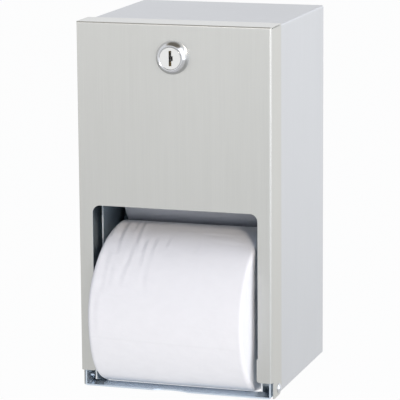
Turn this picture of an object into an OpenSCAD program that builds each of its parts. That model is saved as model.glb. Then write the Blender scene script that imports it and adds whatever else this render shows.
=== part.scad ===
// Surface-mounted toilet tissue dispenser for two rolls, one in use and one in reserve above it.
// Satin stainless steel cabinet, door hinged at the bottom front on two rivets, tumbler lock at the top.
// Frame: X to the right, Y into the wall, Z up. The wall is the plane Y = 0.
// The origin is the middle of the four wall screws, on the wall.

/* [Cabinet] */
// Width over the door
door_w = 154; // [150:1:170]
// Height from the bottom edge of the sides to the top of the door
body_h = 286; // [280:1:310]
// Depth from the wall to the front face of the door
body_d = 154; // [150:1:170]
// Sheet of the cabinet and the door, 22 gauge
skin_t = 0.8; // [0.6:0.1:1]
// Sheet of the inner housing and the rail, 18 gauge
frame_t = 1.2; // [1:0.1:1.5]
// Outer radius of the bends in the skin
bend_r = 1.6; // [1.2:0.1:2.4]
// How far the front edge of the cabinet lies behind the face of the door
cabinet_set_back = 10; // [9:0.5:12]
// Forward flanges of the back pan
back_flange = 12; // [8:1:16]

/* [Wall screws] */
// Distance between the left and right screw holes
wall_pitch_x = 76.2; // [60:1:90]
// Distance between the upper and lower screw holes
wall_pitch_z = 203.2; // [180:1:210]
// Diameter of the screw holes
wall_hole_d = 5.2; // [4.5:0.1:6.5]
// Height of the middle of the pattern above the bottom edge
pattern_h = 143; // [135:1:150]

/* [Door] */
// Depth of the door's top and side flanges
flange_d = 27; // [25:0.5:32]
// Gap between a side flange and the side of the cabinet
side_gap = 0.3; // [0.2:0.05:0.5]
// Gap between the top flange and the top of the cabinet
top_gap = 0.5; // [0.45:0.05:0.8]
// Width of the strips on both sides of the roll opening
strip_w = 11.1; // [10:0.1:13]
// Height of the top edge of the opening above the bottom edge
opening_top = 144.4; // [138:0.2:150]
// Radius of the upper corners of the opening
opening_r = 6; // [3:0.5:12]
// Height of the lower stretch where the strips are a little wider
tab_top = 31.7; // [24:0.1:50]
// How much wider the strips are there
tab_step = 0.9; // [0.3:0.1:1.5]
// Height of the lower ends of the strips
strip_bottom = 13.3; // [12:0.1:18]
// Radius of the inner lower corners of the strips
strip_corner_r = 2.2; // [1:0.1:4]
// Setback of the front edge of the hinge ears
ear_set_back = 5.5; // [4:0.25:8]
// How far the ears reach below the bottom edge
ear_drop = 0.5; // [0.2:0.1:1.6]
// Radius of the rear lower corner of the ears
ear_r = 6.5; // [4:0.25:8]
// Radius of the small corners of the ears
ear_small_r = 2; // [1:0.1:3]
// Open seam between the top flange and each side flange
seam = 0.4; // [0.2:0.1:0.8]

/* [Hinge] */
// Distance of the hinge line behind the face of the door
hinge_in = 19.5; // [18.5:0.25:20.5]
// Height of the hinge line above the bottom edge
hinge_h = 4.8; // [4.5:0.1:6]
// Diameter of the rivet shanks
rivet_d = 5; // [4:0.1:5.4]
// Diameter of the rivet heads
rivet_head_d = 8; // [7:0.1:8.4]
// Height of the domed rivet heads
rivet_head_h = 1.9; // [1.2:0.1:2.4]
// Running clearance of the door on the shank, radial
hinge_clear = 0.06; // [0.02:0.01:0.1]

/* [Lock] */
// Distance of the lock below the top of the door
lock_down = 25; // [24:0.5:32]
// Diameter of the domed bezel
bezel_d = 25.7; // [24:0.1:30]
// How far the bezel stands out from the door
bezel_out = 6.7; // [5:0.1:8]
// Radius of the bezel's domed flank
bezel_flank_r = 8; // [7:0.1:9]
// Diameter of the threaded barrel
barrel_d = 19; // [18.6:0.1:19.6]
// Width of the barrel across its two flats
barrel_flats = 16; // [15.4:0.1:17]
// Diameter of the plug that the key turns
plug_d = 15; // [14:0.1:15.2]
// Diameter of the face of the plug
plug_face_d = 16.6; // [16:0.1:16.8]
// Clearance of the plug in the barrel, radial
plug_clear = 0.08; // [0.03:0.01:0.1]
// Height of the keyway
keyway_h = 11.6; // [9:0.1:12.4]
// Width of the keyway
keyway_w = 2.1; // [1.6:0.1:2.4]
// Number of wafer tumblers
wafers = 5; // [4:1:6]
// Thickness of the cam
cam_t = 1.6; // [1.2:0.1:2]
// Reach of the cam from the axis of the lock
cam_reach = 20.5; // [19.5:0.1:21]
// Width of the cam's arm
cam_w = 12; // [10:0.5:14]
// Gap between the cam and the strike when locked
cam_gap = 0.4; // [0.2:0.1:0.8]
// Hex nut across flats
nut_af = 22.2; // [22:0.1:25]
// Thickness of the nut
nut_t = 3; // [2.5:0.1:3.4]
// Depth of the strike's lip below the top of the cabinet
strike_lip = 12; // [11:0.1:12.6]
// Width of the strike
strike_w = 44; // [30:1:60]

/* [Inner housing] */
// Distance of the plates' inner faces from the sides of the door
plate_in = 10.4; // [9.6:0.1:11]
// Setback of the plates' upper front edge behind the face of the door
plate_set_back = 26; // [24:0.5:29]
// Setback of the plates' foot behind the face of the door
foot_set_back = 6.5; // [5:0.1:12]
// Height at which the foot ends and the front edge slants back
foot_h = 30; // [24:1:40]
// Height of the clipped lower front corner of the foot
foot_clip_h = 3.5; // [1:0.5:8]
// Depth of the clipped corner
foot_clip_d = 12; // [4:1:16]
// Height at which the slanting front edge meets the upright one
shoulder_h = 104; // [95:1:112]
// Distance of the plates' top below the top of the cabinet
plate_drop = 40; // [36:1:46]
// Width of the plates' rear flanges
plate_flange = 12; // [8:1:20]
// Rise of the loading mouth towards the front
mouth_rise = 9; // [4:1:12]
// How far the reserve spindle lifts in its guide
lift_h = 42; // [20:1:44]

/* [Rail] */
// Depth of the rail in front of the roll
rail_d = 15.25; // [12:0.25:15.25]
// Setback of the rail behind the face of the door
rail_set_back = 3.5; // [3:0.25:4.5]
// How far the rail reaches below the bottom edge
rail_drop = 0; // [0:0.1:0.8]
// Height of the rail's upturned ends
rail_end_h = 24; // [16:1:40]
// Depth of the rail's upturned ends
rail_end_d = 32.5; // [24:0.5:40]
// Radius of the upper corners of the rail's ends
rail_end_r = 4; // [1:0.5:6]
// Gap between the end of a roll and the side of the recess behind the rail
recess_gap = 2; // [1.5:0.1:2.6]
// Width of the shallow scoop in the rail's front edge
scoop_w = 29; // [16:1:40]
// Depth of the scoop
scoop_d = 3; // [1:0.5:5]
// Middle of the scoop, to the left of the middle of the door
scoop_off = 6; // [0:0.5:8]

/* [Rolls] */
// Gap between the end of a roll and the plate beside it
roll_gap = 5.1; // [4.6:0.1:8]
// Diameter of the roll in use
roll_d = 126; // [110:1:127]
// Diameter of the reserve roll
reserve_d = 108; // [100:1:112]
// Inner diameter of the cardboard cores
core_bore = 40.6; // [38:0.2:44]
// Wall of the cardboard cores
core_wall = 1; // [0.6:0.1:1.4]
// Setback of the roll in use behind the face of the door
seat_in = 37.5; // [36:0.5:39]
// Height of the axis of the roll in use above the bottom edge
seat_h = 61.9; // [61.5:0.1:64]
// Gap between the two rolls where they meet
nip_gap = 0.4; // [0.3:0.1:1]
// Distance between the reserve roll and the back pan
roll_to_back = 3.5; // [2.5:0.5:7]
// Radius of the paper's outer edges
paper_edge_r = 2; // [0.5:0.5:4]
// Thickness of the outermost turn of paper
ply_t = 0.3; // [0.2:0.05:0.5]
// Angle of the loose end of the paper below the front of the roll
tail_angle = 14; // [5:1:40]

/* [Spindles] */
// Gap between a spindle and the core round it, radial
spindle_gap = 0.3; // [0.2:0.05:0.5]
// Diameter of the left journals, the larger ones
journal_l_d = 12; // [10:0.5:14]
// Diameter of the right journals
journal_r_d = 8; // [7:0.5:9]
// Slack of a journal across its guide, total
guide_slack = 0.6; // [0.3:0.1:1]
// How far the journals stand out past the plates
journal_out = 3; // [2:0.5:4.5]
// Number of ribs along a spindle
spindle_ribs = 6; // [4:1:8]
// Thickness of the spindle's ribs
rib_t = 2.4; // [1.6:0.1:3.5]
// Thickness of the spindle's discs
disc_t = 3; // [2:0.5:5]

/* [Hidden] */
$fn = 96;

// Colours of the finishes
steel_c = "#C9CBCB";
frame_c = "#9BA0A3";
chrome_c = "#E4E6E8";
brass_c = "#C9A94E";
abs_c = "#3A3D40";
paper_c = "#F3F3F5";
card_c = "#A98C66";

eps = 0.01;
over = 1;
face_y = -body_d;

// Cabinet, nested inside the door's flanges
cab_w = door_w - 2 * (skin_t + side_gap);
cab_h = body_h - skin_t - top_gap;
cab_front = face_y + cabinet_set_back;
cab_in_w = cab_w - 2 * skin_t;
cab_in_h = cab_h - skin_t;

// Hinge line
hinge_y = face_y + hinge_in;
fit = 0.02;
tail_h = 1.4;
tail_d = rivet_head_d - 1;
dome_gap = 0.1;

// Rail
rail_y = face_y + rail_set_back;
rail_back = rail_y + rail_end_d;
rail_top = frame_t - rail_drop;
inner_bend_r = 0.4;
frame_bend_r = frame_t + inner_bend_r;
recess_r = 3;
scoop_r = (pow(scoop_w / 2, 2) + pow(scoop_d, 2)) / (2 * scoop_d);

// Lock
lock_z = body_h - lock_down;
strike_back = cab_front + frame_t;
cam_front = strike_back + cam_gap;
barrel_to_cam = 0.2;
barrel_end = cam_front - barrel_to_cam;
barrel_len = barrel_end - face_y;
washer_t = 0.8;
washer_rim = 2.6;
bezel_rim = 0.3;
mouth_chamfer = 0.5;
mouth_flare = 1.6;
plug_inset = 0.25;
plug_face_t = 1.4;
tail_sq = 6;
cam_hub_d = 16;
cam_corner_r = 2.5;
strike_leg = 16;
washer_tooth = 1.2;
screw_d = 4;
screw_head_d = 8;
screw_head_h = 2.2;
screw_len = 7;
cross_l = 4.6;
cross_w = 1;
cross_depth = 1.1;
wafer_w = 5.4;
wafer_h = 12.8;
wafer_t = 0.7;
wafer_pitch = 2;
wafer_first = 4.2;
wafer_slot_gap = 0.08;
wafer_window_h = 7.4;
wafer_window_w = 3;
wafer_cut = 0.8;
keyway_step = 1.1;
keyway_step_h = 3.6;

// Rolls and spindles
housing_w = door_w - 2 * plate_in;
roll_w = housing_w - 2 * roll_gap;
opening_w = door_w - 2 * strip_w;
seat_y = face_y + seat_in;
roll_r = roll_d / 2;
reserve_r = reserve_d / 2;
reserve_y = -(skin_t + roll_to_back + reserve_r);
nip = roll_r + reserve_r + nip_gap;
reserve_h = seat_h + sqrt(pow(nip, 2) - pow(reserve_y - seat_y, 2));
core_r = core_bore / 2;
core_out_r = core_r + core_wall;
spindle_r = core_r - spindle_gap;
hub_r = 9;
boss_gap = 0.5;
rib_root = 1;
rib_low = 0.6;
boss_r = 13;

// Housing plates
plate_x = housing_w / 2;
plate_front = face_y + plate_set_back;
foot_front = face_y + foot_set_back;
plate_top = cab_h - plate_drop;
plate_back = -skin_t;
mouth_h = reserve_h + lift_h;
plate_corner_r = 8;

// The whole dispenser hangs from the middle of its screws
module hung() {
    translate([0, 0, -pattern_h]) children();
}

// Sheet in the plane of the side of the cabinet: 2D x is depth, 2D y is height
module side_sheet(x, t) {
    translate([x, 0, 0]) rotate([90, 0, 90]) linear_extrude(t) children();
}

// Sheet in the plane of the door: 2D x is width, 2D y is height, from y back to y - t
module front_sheet(y, t) {
    translate([0, y, 0]) rotate([90, 0, 0]) linear_extrude(t) children();
}

// What is left over outside an arc in the corner at p, whose inside lies towards s
module corner_waste(p, s, r) {
    difference() {
        translate([min(p.x, p.x + s.x * r), min(p.y, p.y + s.y * r)]) square(r);
        translate([p.x + s.x * r, p.y + s.y * r]) circle(r);
    }
}

// Rectangle from a to b with a radius for each corner: lower left, lower right, upper right, upper left
module plate_rect(a, b, r) {
    difference() {
        translate(a) square(b - a);
        if (r[0] > 0) corner_waste(a, [1, 1], r[0]);
        if (r[1] > 0) corner_waste([b.x, a.y], [-1, 1], r[1]);
        if (r[2] > 0) corner_waste(b, [-1, -1], r[2]);
        if (r[3] > 0) corner_waste([a.x, b.y], [1, -1], r[3]);
    }
}

// Straight run of a slot that ends round at q
module run(p, q, w) {
    d = q - p;
    translate(p) rotate(atan2(d.y, d.x)) translate([0, -w / 2]) square([norm(d), w]);
    translate(q) circle(d = w);
}

// Round bar along X between two stations
module bar(x0, x1, y, z, r) {
    translate([x0, y, z]) rotate([0, 90, 0]) cylinder(h = x1 - x0, r = r);
}

// Places a child drawn along +Z so that it points out of the door at the lock, its Z = 0 on the face
module at_lock() {
    translate([0, face_y, lock_z]) rotate([90, 0, 0]) children();
}

// Cabinet wrap: left side, top and right side in one bent sheet
module cabinet_shell() {
    color(steel_c) hung() difference() {
        front_sheet(0, -cab_front) difference() {
            plate_rect([-cab_w / 2, 0], [cab_w / 2, cab_h], [0, 0, bend_r, bend_r]);
            plate_rect(
                [-cab_in_w / 2, -over], [cab_in_w / 2, cab_in_h],
                [0, 0, bend_r - skin_t, bend_r - skin_t]
            );
        }
        bar(-door_w, door_w, hinge_y, hinge_h, rivet_d / 2 + fit);
    }
}

// Back pan with the wall screw holes and a forward flange at each side
module cabinet_back() {
    color(steel_c) hung() difference() {
        linear_extrude(cab_in_h) difference() {
            plate_rect(
                [-cab_in_w / 2, -back_flange], [cab_in_w / 2, 0], [0, 0, bend_r, bend_r]
            );
            plate_rect(
                [-cab_in_w / 2 + skin_t, -back_flange - over], [cab_in_w / 2 - skin_t, -skin_t],
                [0, 0, bend_r - skin_t, bend_r - skin_t]
            );
        }
        for (sx = [-1, 1], sz = [-1, 1])
            translate([sx * wall_pitch_x / 2, over, pattern_h + sz * wall_pitch_z / 2])
                rotate([90, 0, 0]) cylinder(h = 2 * over + skin_t, d = wall_hole_d);
    }
}

// Angle under the top of the cabinet, whose lip the cam catches behind
module lock_strike() {
    color(frame_c) hung() translate([-strike_w / 2, 0, 0]) rotate([90, 0, 90]) linear_extrude(strike_w)
        difference() {
            plate_rect(
                [cab_front, cab_in_h - strike_lip], [cab_front + strike_leg, cab_in_h],
                [0, 0, 0, frame_bend_r]
            );
            plate_rect(
                [cab_front + frame_t, cab_in_h - strike_lip - over],
                [cab_front + strike_leg + over, cab_in_h - frame_t],
                [0, 0, 0, inner_bend_r]
            );
        }
}

// Outline of a housing plate seen from the side
module plate_outline() {
    difference() {
        polygon([
            [foot_front + foot_clip_d, rail_top], [plate_back, rail_top], [plate_back, plate_top],
            [plate_front, plate_top], [plate_front, shoulder_h], [foot_front, foot_h],
            [foot_front, rail_top + foot_clip_h]
        ]);
        corner_waste([plate_front, plate_top], [1, -1], plate_corner_r);
    }
}

// Guide for a journal: mouth at the front, upright stretch of the reserve roll, slant down to the seat
module guide(w) {
    bend = [reserve_y, mouth_h];
    run([plate_front - w, mouth_h + mouth_rise], bend, w);
    run(bend, [reserve_y, reserve_h], w);
    run([reserve_y, reserve_h], [seat_y, seat_h], w);
}

// Side plate of the inner housing, on the side given by s, with a guide for a journal of diameter jd
module housing_plate(s, jd) {
    x0 = s > 0 ? plate_x : -plate_x - frame_t;
    flange_x = s > 0 ? plate_x - plate_flange : -plate_x - frame_t;
    side_sheet(x0, frame_t) difference() {
        plate_outline();
        guide(jd + guide_slack);
    }
    translate([flange_x, plate_back - frame_t, rail_top])
        cube([plate_flange + frame_t, frame_t, plate_top - rail_top]);
}

// Left plate, with the wide guide
module housing_plate_left() {
    color(frame_c) hung() housing_plate(-1, journal_l_d);
}

// Right plate, with the narrow guide
module housing_plate_right() {
    color(frame_c) hung() housing_plate(1, journal_r_d);
}

// Cut right through the rail's flat part, drawn in plan
module rail_cut() {
    translate([0, 0, -rail_drop - over]) linear_extrude(frame_t + 2 * over) children();
}

// Bottom front rail: flat sheet under the roll's front, and upturned ends that take the hinge rivets
module bottom_rail() {
    half = cab_in_w / 2;
    recess = roll_w / 2 + recess_gap;
    color(frame_c) hung() difference() {
        intersection() {
            front_sheet(rail_back, rail_end_d) difference() {
                plate_rect([-half, -rail_drop], [half, rail_end_h], [frame_bend_r, frame_bend_r, 0, 0]);
                plate_rect(
                    [-half + frame_t, rail_top], [half - frame_t, rail_end_h + over],
                    [inner_bend_r, inner_bend_r, 0, 0]
                );
            }
            side_sheet(-half, cab_in_w)
                plate_rect([rail_y, -rail_drop], [rail_back, rail_end_h], [0, 0, rail_end_r, rail_end_r]);
        }
        rail_cut() {
            plate_rect([-recess, rail_y + rail_d], [recess, rail_back + over], [recess_r, recess_r, 0, 0]);
            translate([-scoop_off, rail_y + scoop_d - scoop_r]) circle(scoop_r);
        }
        bar(-door_w, door_w, hinge_y, hinge_h, rivet_d / 2 + fit);
    }
}

// Hinge rivet on the side given by s: shank, domed head outside the ear, flat head inside the rail's end
module hinge_rivet(s) {
    inner_x = cab_in_w / 2 - frame_t;
    head_x = door_w / 2 + dome_gap;
    sphere_r = (pow(rivet_head_d / 2, 2) + pow(rivet_head_h, 2)) / (2 * rivet_head_h);
    translate([0, hinge_y, hinge_h]) rotate([0, s * 90, 0]) rotate_extrude() {
        translate([0, inner_x - tail_h]) square([tail_d / 2, tail_h]);
        translate([0, inner_x - eps]) square([rivet_d / 2, head_x - inner_x + 2 * eps]);
        intersection() {
            translate([0, head_x]) square([rivet_head_d, rivet_head_h]);
            translate([0, head_x + rivet_head_h - sphere_r]) circle(sphere_r);
        }
    }
}

// The two hinge rivets
module hinge_rivets() {
    color(chrome_c) hung() for (s = [-1, 1]) hinge_rivet(s);
}

// Roll opening in the front of the door, open at the bottom
module opening_outline() {
    low_w = opening_w - 2 * tab_step;
    plate_rect(
        [-opening_w / 2, tab_top], [opening_w / 2, opening_top], [0, 0, opening_r, opening_r]
    );
    translate([-low_w / 2, -over]) square([low_w, tab_top + 2 * over]);
    for (s = [-1, 1])
        corner_waste([s * low_w / 2, strip_bottom], [s, 1], strip_corner_r);
    translate([-door_w, -ear_drop - over]) square([2 * door_w, strip_bottom + ear_drop + over]);
}

// Side view of the door with its hinge ears
module door_side_outline() {
    back = face_y + flange_d;
    difference() {
        plate_rect([face_y, -ear_drop], [back, body_h], [0, ear_r, 0, bend_r]);
        plate_rect(
            [face_y - over, -ear_drop - over], [face_y + ear_set_back, strip_bottom],
            [0, 0, ear_small_r, 0]
        );
        corner_waste([face_y + ear_set_back, -ear_drop], [1, 1], ear_small_r);
    }
}

// Door: one pan with a top flange, two side flanges and their hinge ears
module door_panel() {
    back = face_y + flange_d;
    in_w = door_w - 2 * skin_t;
    in_y = face_y + skin_t;
    in_r = bend_r - skin_t;
    color(steel_c) hung() difference() {
        intersection() {
            translate([0, 0, -ear_drop]) linear_extrude(body_h + ear_drop)
                plate_rect([-door_w / 2, face_y], [door_w / 2, back], [bend_r, bend_r, 0, 0]);
            side_sheet(-door_w / 2, door_w) door_side_outline();
        }
        intersection() {
            translate([0, 0, -ear_drop - over]) linear_extrude(body_h + ear_drop + over)
                plate_rect([-in_w / 2, in_y], [in_w / 2, back + over], [in_r, in_r, 0, 0]);
            side_sheet(-in_w / 2, in_w)
                plate_rect([in_y, -ear_drop - over], [back + over, body_h - skin_t], [0, 0, 0, in_r]);
        }
        front_sheet(in_y + eps, skin_t + over) opening_outline();
        at_lock() translate([0, 0, -2 * skin_t]) linear_extrude(3 * skin_t) barrel_section(fit);
        for (s = [-1, 1])
            translate([s * (door_w - skin_t) / 2 - skin_t, face_y + bend_r, body_h - skin_t - seam])
                cube([2 * skin_t, flange_d, seam]);
        bar(-door_w, door_w, hinge_y, hinge_h, rivet_d / 2 + hinge_clear);
    }
}

// Section of the barrel with its two flats, widened by g
module barrel_section(g) {
    intersection() {
        circle(d = barrel_d + 2 * g);
        square([barrel_flats + 2 * g, barrel_d + over], center = true);
    }
}

// Lock barrel with its domed bezel
module lock_barrel() {
    flank_x = bezel_d / 2 - bezel_flank_r;
    color(chrome_c) hung() at_lock() difference() {
        union() {
            rotate_extrude() {
                square([bezel_d / 2, bezel_rim]);
                intersection() {
                    translate([0, bezel_rim]) square([bezel_d / 2, bezel_out - bezel_rim]);
                    union() {
                        translate([flank_x, bezel_rim]) circle(bezel_flank_r);
                        square([flank_x, bezel_out]);
                    }
                }
            }
            translate([0, 0, -barrel_len]) linear_extrude(barrel_len + eps) barrel_section(0);
        }
        translate([0, 0, -barrel_len - over]) cylinder(h = barrel_len + bezel_out + 2 * over,
            d = plug_d + 2 * plug_clear);
        translate([0, 0, bezel_out - plug_inset - plug_face_t])
            cylinder(h = bezel_out, d = plug_face_d + 2 * plug_clear);
        translate([0, 0, bezel_out - mouth_chamfer])
            cylinder(h = mouth_chamfer + eps, d1 = plug_face_d, d2 = plug_face_d + mouth_flare);
    }
}

// Star washer between the door and the nut
module lock_washer() {
    color(frame_c) hung() at_lock() translate([0, 0, -skin_t - washer_t]) linear_extrude(washer_t)
        difference() {
            circle(d = barrel_d + 2 * washer_rim + 2 * washer_tooth);
            circle(d = barrel_d + 2 * fit);
            for (a = [0:30:330])
                rotate(a) translate([barrel_d / 2 + washer_rim, -washer_tooth / 2])
                    square([3 * washer_tooth, washer_tooth]);
        }
}

// Hex nut that clamps the barrel to the door
module lock_nut() {
    color(chrome_c) hung() at_lock() translate([0, 0, -skin_t - washer_t - nut_t]) difference() {
        rotate(30) cylinder(h = nut_t, r = nut_af / 2 / cos(30), $fn = 6);
        translate([0, 0, -over]) cylinder(h = nut_t + 2 * over, d = barrel_d + 2 * fit);
    }
}

// Keyway with its sideways ward
module keyway_outline() {
    square([keyway_w, keyway_h], center = true);
    translate([keyway_step / 2, 0]) square([keyway_w + keyway_step, keyway_step_h], center = true);
}

// Depth of wafer i behind the front of the plug
function wafer_z(i) = bezel_out - plug_inset - wafer_first - i * wafer_pitch;

// Plug: face, cylinder with keyway and wafer slots, square tail for the cam
module lock_plug() {
    tail_end = cam_front + cam_t - face_y;
    key_depth = wafer_first + wafers * wafer_pitch;
    color(chrome_c) hung() at_lock() difference() {
        union() {
            translate([0, 0, bezel_out - plug_inset - plug_face_t + fit])
                cylinder(h = plug_face_t - fit, d = plug_face_d);
            translate([0, 0, -barrel_len]) cylinder(h = barrel_len + bezel_out - plug_inset - eps, d = plug_d);
            translate([-tail_sq / 2, -tail_sq / 2, -tail_end]) cube([tail_sq, tail_sq, tail_end - eps]);
        }
        translate([0, 0, bezel_out - key_depth]) linear_extrude(key_depth + over) keyway_outline();
        for (i = [0:wafers - 1])
            translate([0, 0, wafer_z(i)])
                cube([wafer_w + 2 * wafer_slot_gap, wafer_h + 2 * wafer_slot_gap,
                    wafer_t + 2 * wafer_slot_gap], center = true);
        translate([0, 0, -tail_end - over]) cylinder(h = screw_len + over, d = screw_d + 2 * fit);
    }
}

// Wafer tumblers in the plug, each a plate with a window for the key
module lock_wafers() {
    color(brass_c) hung() at_lock() for (i = [0:wafers - 1])
        translate([0, 0, wafer_z(i)]) difference() {
            cube([wafer_w, wafer_h, wafer_t], center = true);
            translate([0, (i % 2 == 0 ? wafer_cut : -wafer_cut), 0])
                cube([wafer_window_w, wafer_window_h, wafer_t + over], center = true);
        }
}

// Cam: hub on the plug's square tail and an arm, pointing down when unlocked
module lock_cam() {
    color(frame_c) hung() at_lock() translate([0, 0, face_y - cam_front - cam_t]) linear_extrude(cam_t)
        difference() {
            union() {
                circle(d = cam_hub_d);
                plate_rect([-cam_w / 2, -cam_reach], [cam_w / 2, 0], [cam_corner_r, cam_corner_r, 0, 0]);
            }
            square(tail_sq + 2 * fit, center = true);
        }
}

// Screw that holds the cam on the plug
module cam_screw() {
    head_z = face_y - cam_front - cam_t;
    color(chrome_c) hung() at_lock() difference() {
        union() {
            translate([0, 0, head_z - screw_head_h]) cylinder(h = screw_head_h, d = screw_head_d);
            translate([0, 0, head_z - eps]) cylinder(h = screw_len - 1, d = screw_d);
        }
        for (a = [0, 90])
            translate([0, 0, head_z - screw_head_h])
                rotate(a) cube([cross_l, cross_w, 2 * cross_depth], center = true);
    }
}

// One-piece moulded spindle: ribbed body with discs, a large journal on the left, a small one on the right
module spindle(y, z) {
    half = roll_w / 2;
    boss_x = plate_x - boss_gap;
    journal_x = plate_x + frame_t + journal_out;
    disc_x = half - disc_t;
    bar(-boss_x, boss_x, y, z, hub_r);
    bar(-journal_x, -boss_x + eps, y, z, journal_l_d / 2);
    bar(boss_x - eps, journal_x, y, z, journal_r_d / 2);
    for (x = [-disc_x, -disc_t / 2, disc_x - disc_t]) bar(x, x + disc_t, y, z, spindle_r);
    for (s = [-1, 1]) bar(s > 0 ? half : -boss_x, s > 0 ? boss_x : -half, y, z, boss_r);
    for (i = [0:spindle_ribs - 1])
        translate([-disc_x, y, z]) rotate([i * 360 / spindle_ribs, 0, 0])
            translate([0, -rib_t / 2, hub_r - rib_root])
                cube([2 * disc_x, rib_t, spindle_r - rib_low - hub_r + rib_root]);
}

// Cardboard core
module core(y, z) {
    difference() {
        bar(-roll_w / 2, roll_w / 2, y, z, core_out_r);
        bar(-roll_w / 2 - over, roll_w / 2 + over, y, z, core_r);
    }
}

// Wound paper of radius r round a core, with soft outer edges
module paper(y, z, r) {
    translate([0, y, z]) rotate([0, 90, 0]) rotate_extrude() difference() {
        plate_rect(
            [core_out_r, -roll_w / 2], [r, roll_w / 2], [0, paper_edge_r, paper_edge_r, 0]
        );
    }
}

// Spindle of the roll in use
module in_use_spindle() {
    color(abs_c) hung() spindle(seat_y, seat_h);
}

// Core of the roll in use
module in_use_core() {
    color(card_c) hung() core(seat_y, seat_h);
}

// Paper of the roll in use: the outermost turn ends in a loose edge across the front
module in_use_paper() {
    inner_r = roll_r - ply_t;
    tail_half = roll_w / 2 - paper_edge_r;
    color(paper_c) hung() {
        paper(seat_y, seat_h, inner_r);
        translate([-tail_half, seat_y, seat_h]) rotate([-tail_angle, 0, 0]) rotate([90, 0, 90])
            linear_extrude(2 * tail_half) difference() {
                circle(roll_r);
                circle(inner_r - eps);
                translate([-2 * roll_r, -2 * roll_r]) square([4 * roll_r, 2 * roll_r]);
            }
    }
}

// Spindle of the reserve roll
module reserve_spindle() {
    color(abs_c) hung() spindle(reserve_y, reserve_h);
}

// Core of the reserve roll
module reserve_core() {
    color(card_c) hung() core(reserve_y, reserve_h);
}

// Paper of the reserve roll
module reserve_paper() {
    color(paper_c) hung() paper(reserve_y, reserve_h, reserve_r);
}

cabinet_shell();
cabinet_back();
lock_strike();
housing_plate_left();
housing_plate_right();
bottom_rail();
hinge_rivets();
door_panel();
lock_barrel();
lock_washer();
lock_nut();
lock_plug();
lock_wafers();
lock_cam();
cam_screw();
in_use_spindle();
in_use_core();
in_use_paper();
reserve_spindle();
reserve_core();
reserve_paper();
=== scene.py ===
"""Looks of a wall-hung stainless tissue dispenser for two rolls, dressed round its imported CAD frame.

Everything is in metres in the frame of the CAD: X to the right, Y into the wall, Z up, with the
origin on the wall at the middle of the screw holes.
"""

from __future__ import annotations

import logging
import math
import random
from dataclasses import dataclass, field
from enum import Enum
from typing import Any, Iterable

import bmesh
import bpy
from mathutils import Matrix, Vector

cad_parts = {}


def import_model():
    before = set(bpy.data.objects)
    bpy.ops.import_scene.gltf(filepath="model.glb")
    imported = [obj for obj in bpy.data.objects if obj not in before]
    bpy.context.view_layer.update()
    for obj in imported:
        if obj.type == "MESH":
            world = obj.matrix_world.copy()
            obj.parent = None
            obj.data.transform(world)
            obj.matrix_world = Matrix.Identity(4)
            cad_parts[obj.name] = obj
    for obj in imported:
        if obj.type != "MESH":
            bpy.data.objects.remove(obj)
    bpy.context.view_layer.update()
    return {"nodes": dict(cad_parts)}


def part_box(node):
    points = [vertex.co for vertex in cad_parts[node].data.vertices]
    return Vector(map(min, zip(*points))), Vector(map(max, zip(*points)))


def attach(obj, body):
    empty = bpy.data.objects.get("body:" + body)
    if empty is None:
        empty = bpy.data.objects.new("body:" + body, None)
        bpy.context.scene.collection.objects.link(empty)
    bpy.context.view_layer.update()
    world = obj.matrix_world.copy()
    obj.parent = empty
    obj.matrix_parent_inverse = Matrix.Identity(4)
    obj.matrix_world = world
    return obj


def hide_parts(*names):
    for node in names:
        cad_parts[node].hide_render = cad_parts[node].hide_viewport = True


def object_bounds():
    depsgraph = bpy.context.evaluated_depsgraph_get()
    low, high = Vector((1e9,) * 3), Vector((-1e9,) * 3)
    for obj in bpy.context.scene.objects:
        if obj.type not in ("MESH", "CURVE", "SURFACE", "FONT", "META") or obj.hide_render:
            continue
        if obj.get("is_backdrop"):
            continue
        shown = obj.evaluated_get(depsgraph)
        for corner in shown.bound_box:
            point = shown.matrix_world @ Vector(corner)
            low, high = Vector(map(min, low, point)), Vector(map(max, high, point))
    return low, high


LOG = logging.getLogger("dispenser")
MM = 0.001
# the direction from the wall towards whoever stands in front
FRONTWARD = (0.0, -1.0, 0.0)

Tree = bpy.types.NodeTree
Node = bpy.types.Node
Socket = bpy.types.NodeSocket


# ---------------------------------------------------------------- shader helpers


def linear(hex_colour: str) -> tuple[float, float, float, float]:
    """Turn an sRGB hex colour into Blender's linear RGBA.

    Args:
        hex_colour: six hex digits with a leading hash.

    Returns:
        The colour in linear light, with an alpha of one.
    """
    channels = [int(hex_colour[i : i + 2], 16) / 255 for i in (1, 3, 5)]
    red, green, blue = (
        c / 12.92 if c <= 0.04045 else ((c + 0.055) / 1.055) ** 2.4 for c in channels
    )
    return red, green, blue, 1.0


def add_node(tree: Tree, kind: str, inputs: dict[Any, Any] | None = None, **settings: Any) -> Node:
    """Add one shader node with its settings, values and links.

    Args:
        tree: the node tree that takes the node.
        kind: the node's type name in bpy, without the ShaderNode that they all begin with.
        inputs: socket name or index to a value, or to the output socket that feeds it.
        **settings: attributes set on the node itself.

    Returns:
        The new node.
    """
    node = tree.nodes.new("ShaderNode" + kind)
    for name, value in settings.items():
        setattr(node, name, value)
    for key, value in (inputs or {}).items():
        if isinstance(value, bpy.types.NodeSocket):
            tree.links.new(value, node.inputs[key])
        else:
            node.inputs[key].default_value = value
    return node


def new_tree(name: str) -> tuple[bpy.types.Material, Tree, Node]:
    """Start a material with a bare tree.

    Args:
        name: the material's name.

    Returns:
        The material, its node tree and its output node.
    """
    material = bpy.data.materials.new(name)
    material.use_nodes = True
    tree = material.node_tree
    tree.nodes.clear()
    output = add_node(tree, "OutputMaterial")
    return material, tree, output


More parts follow.
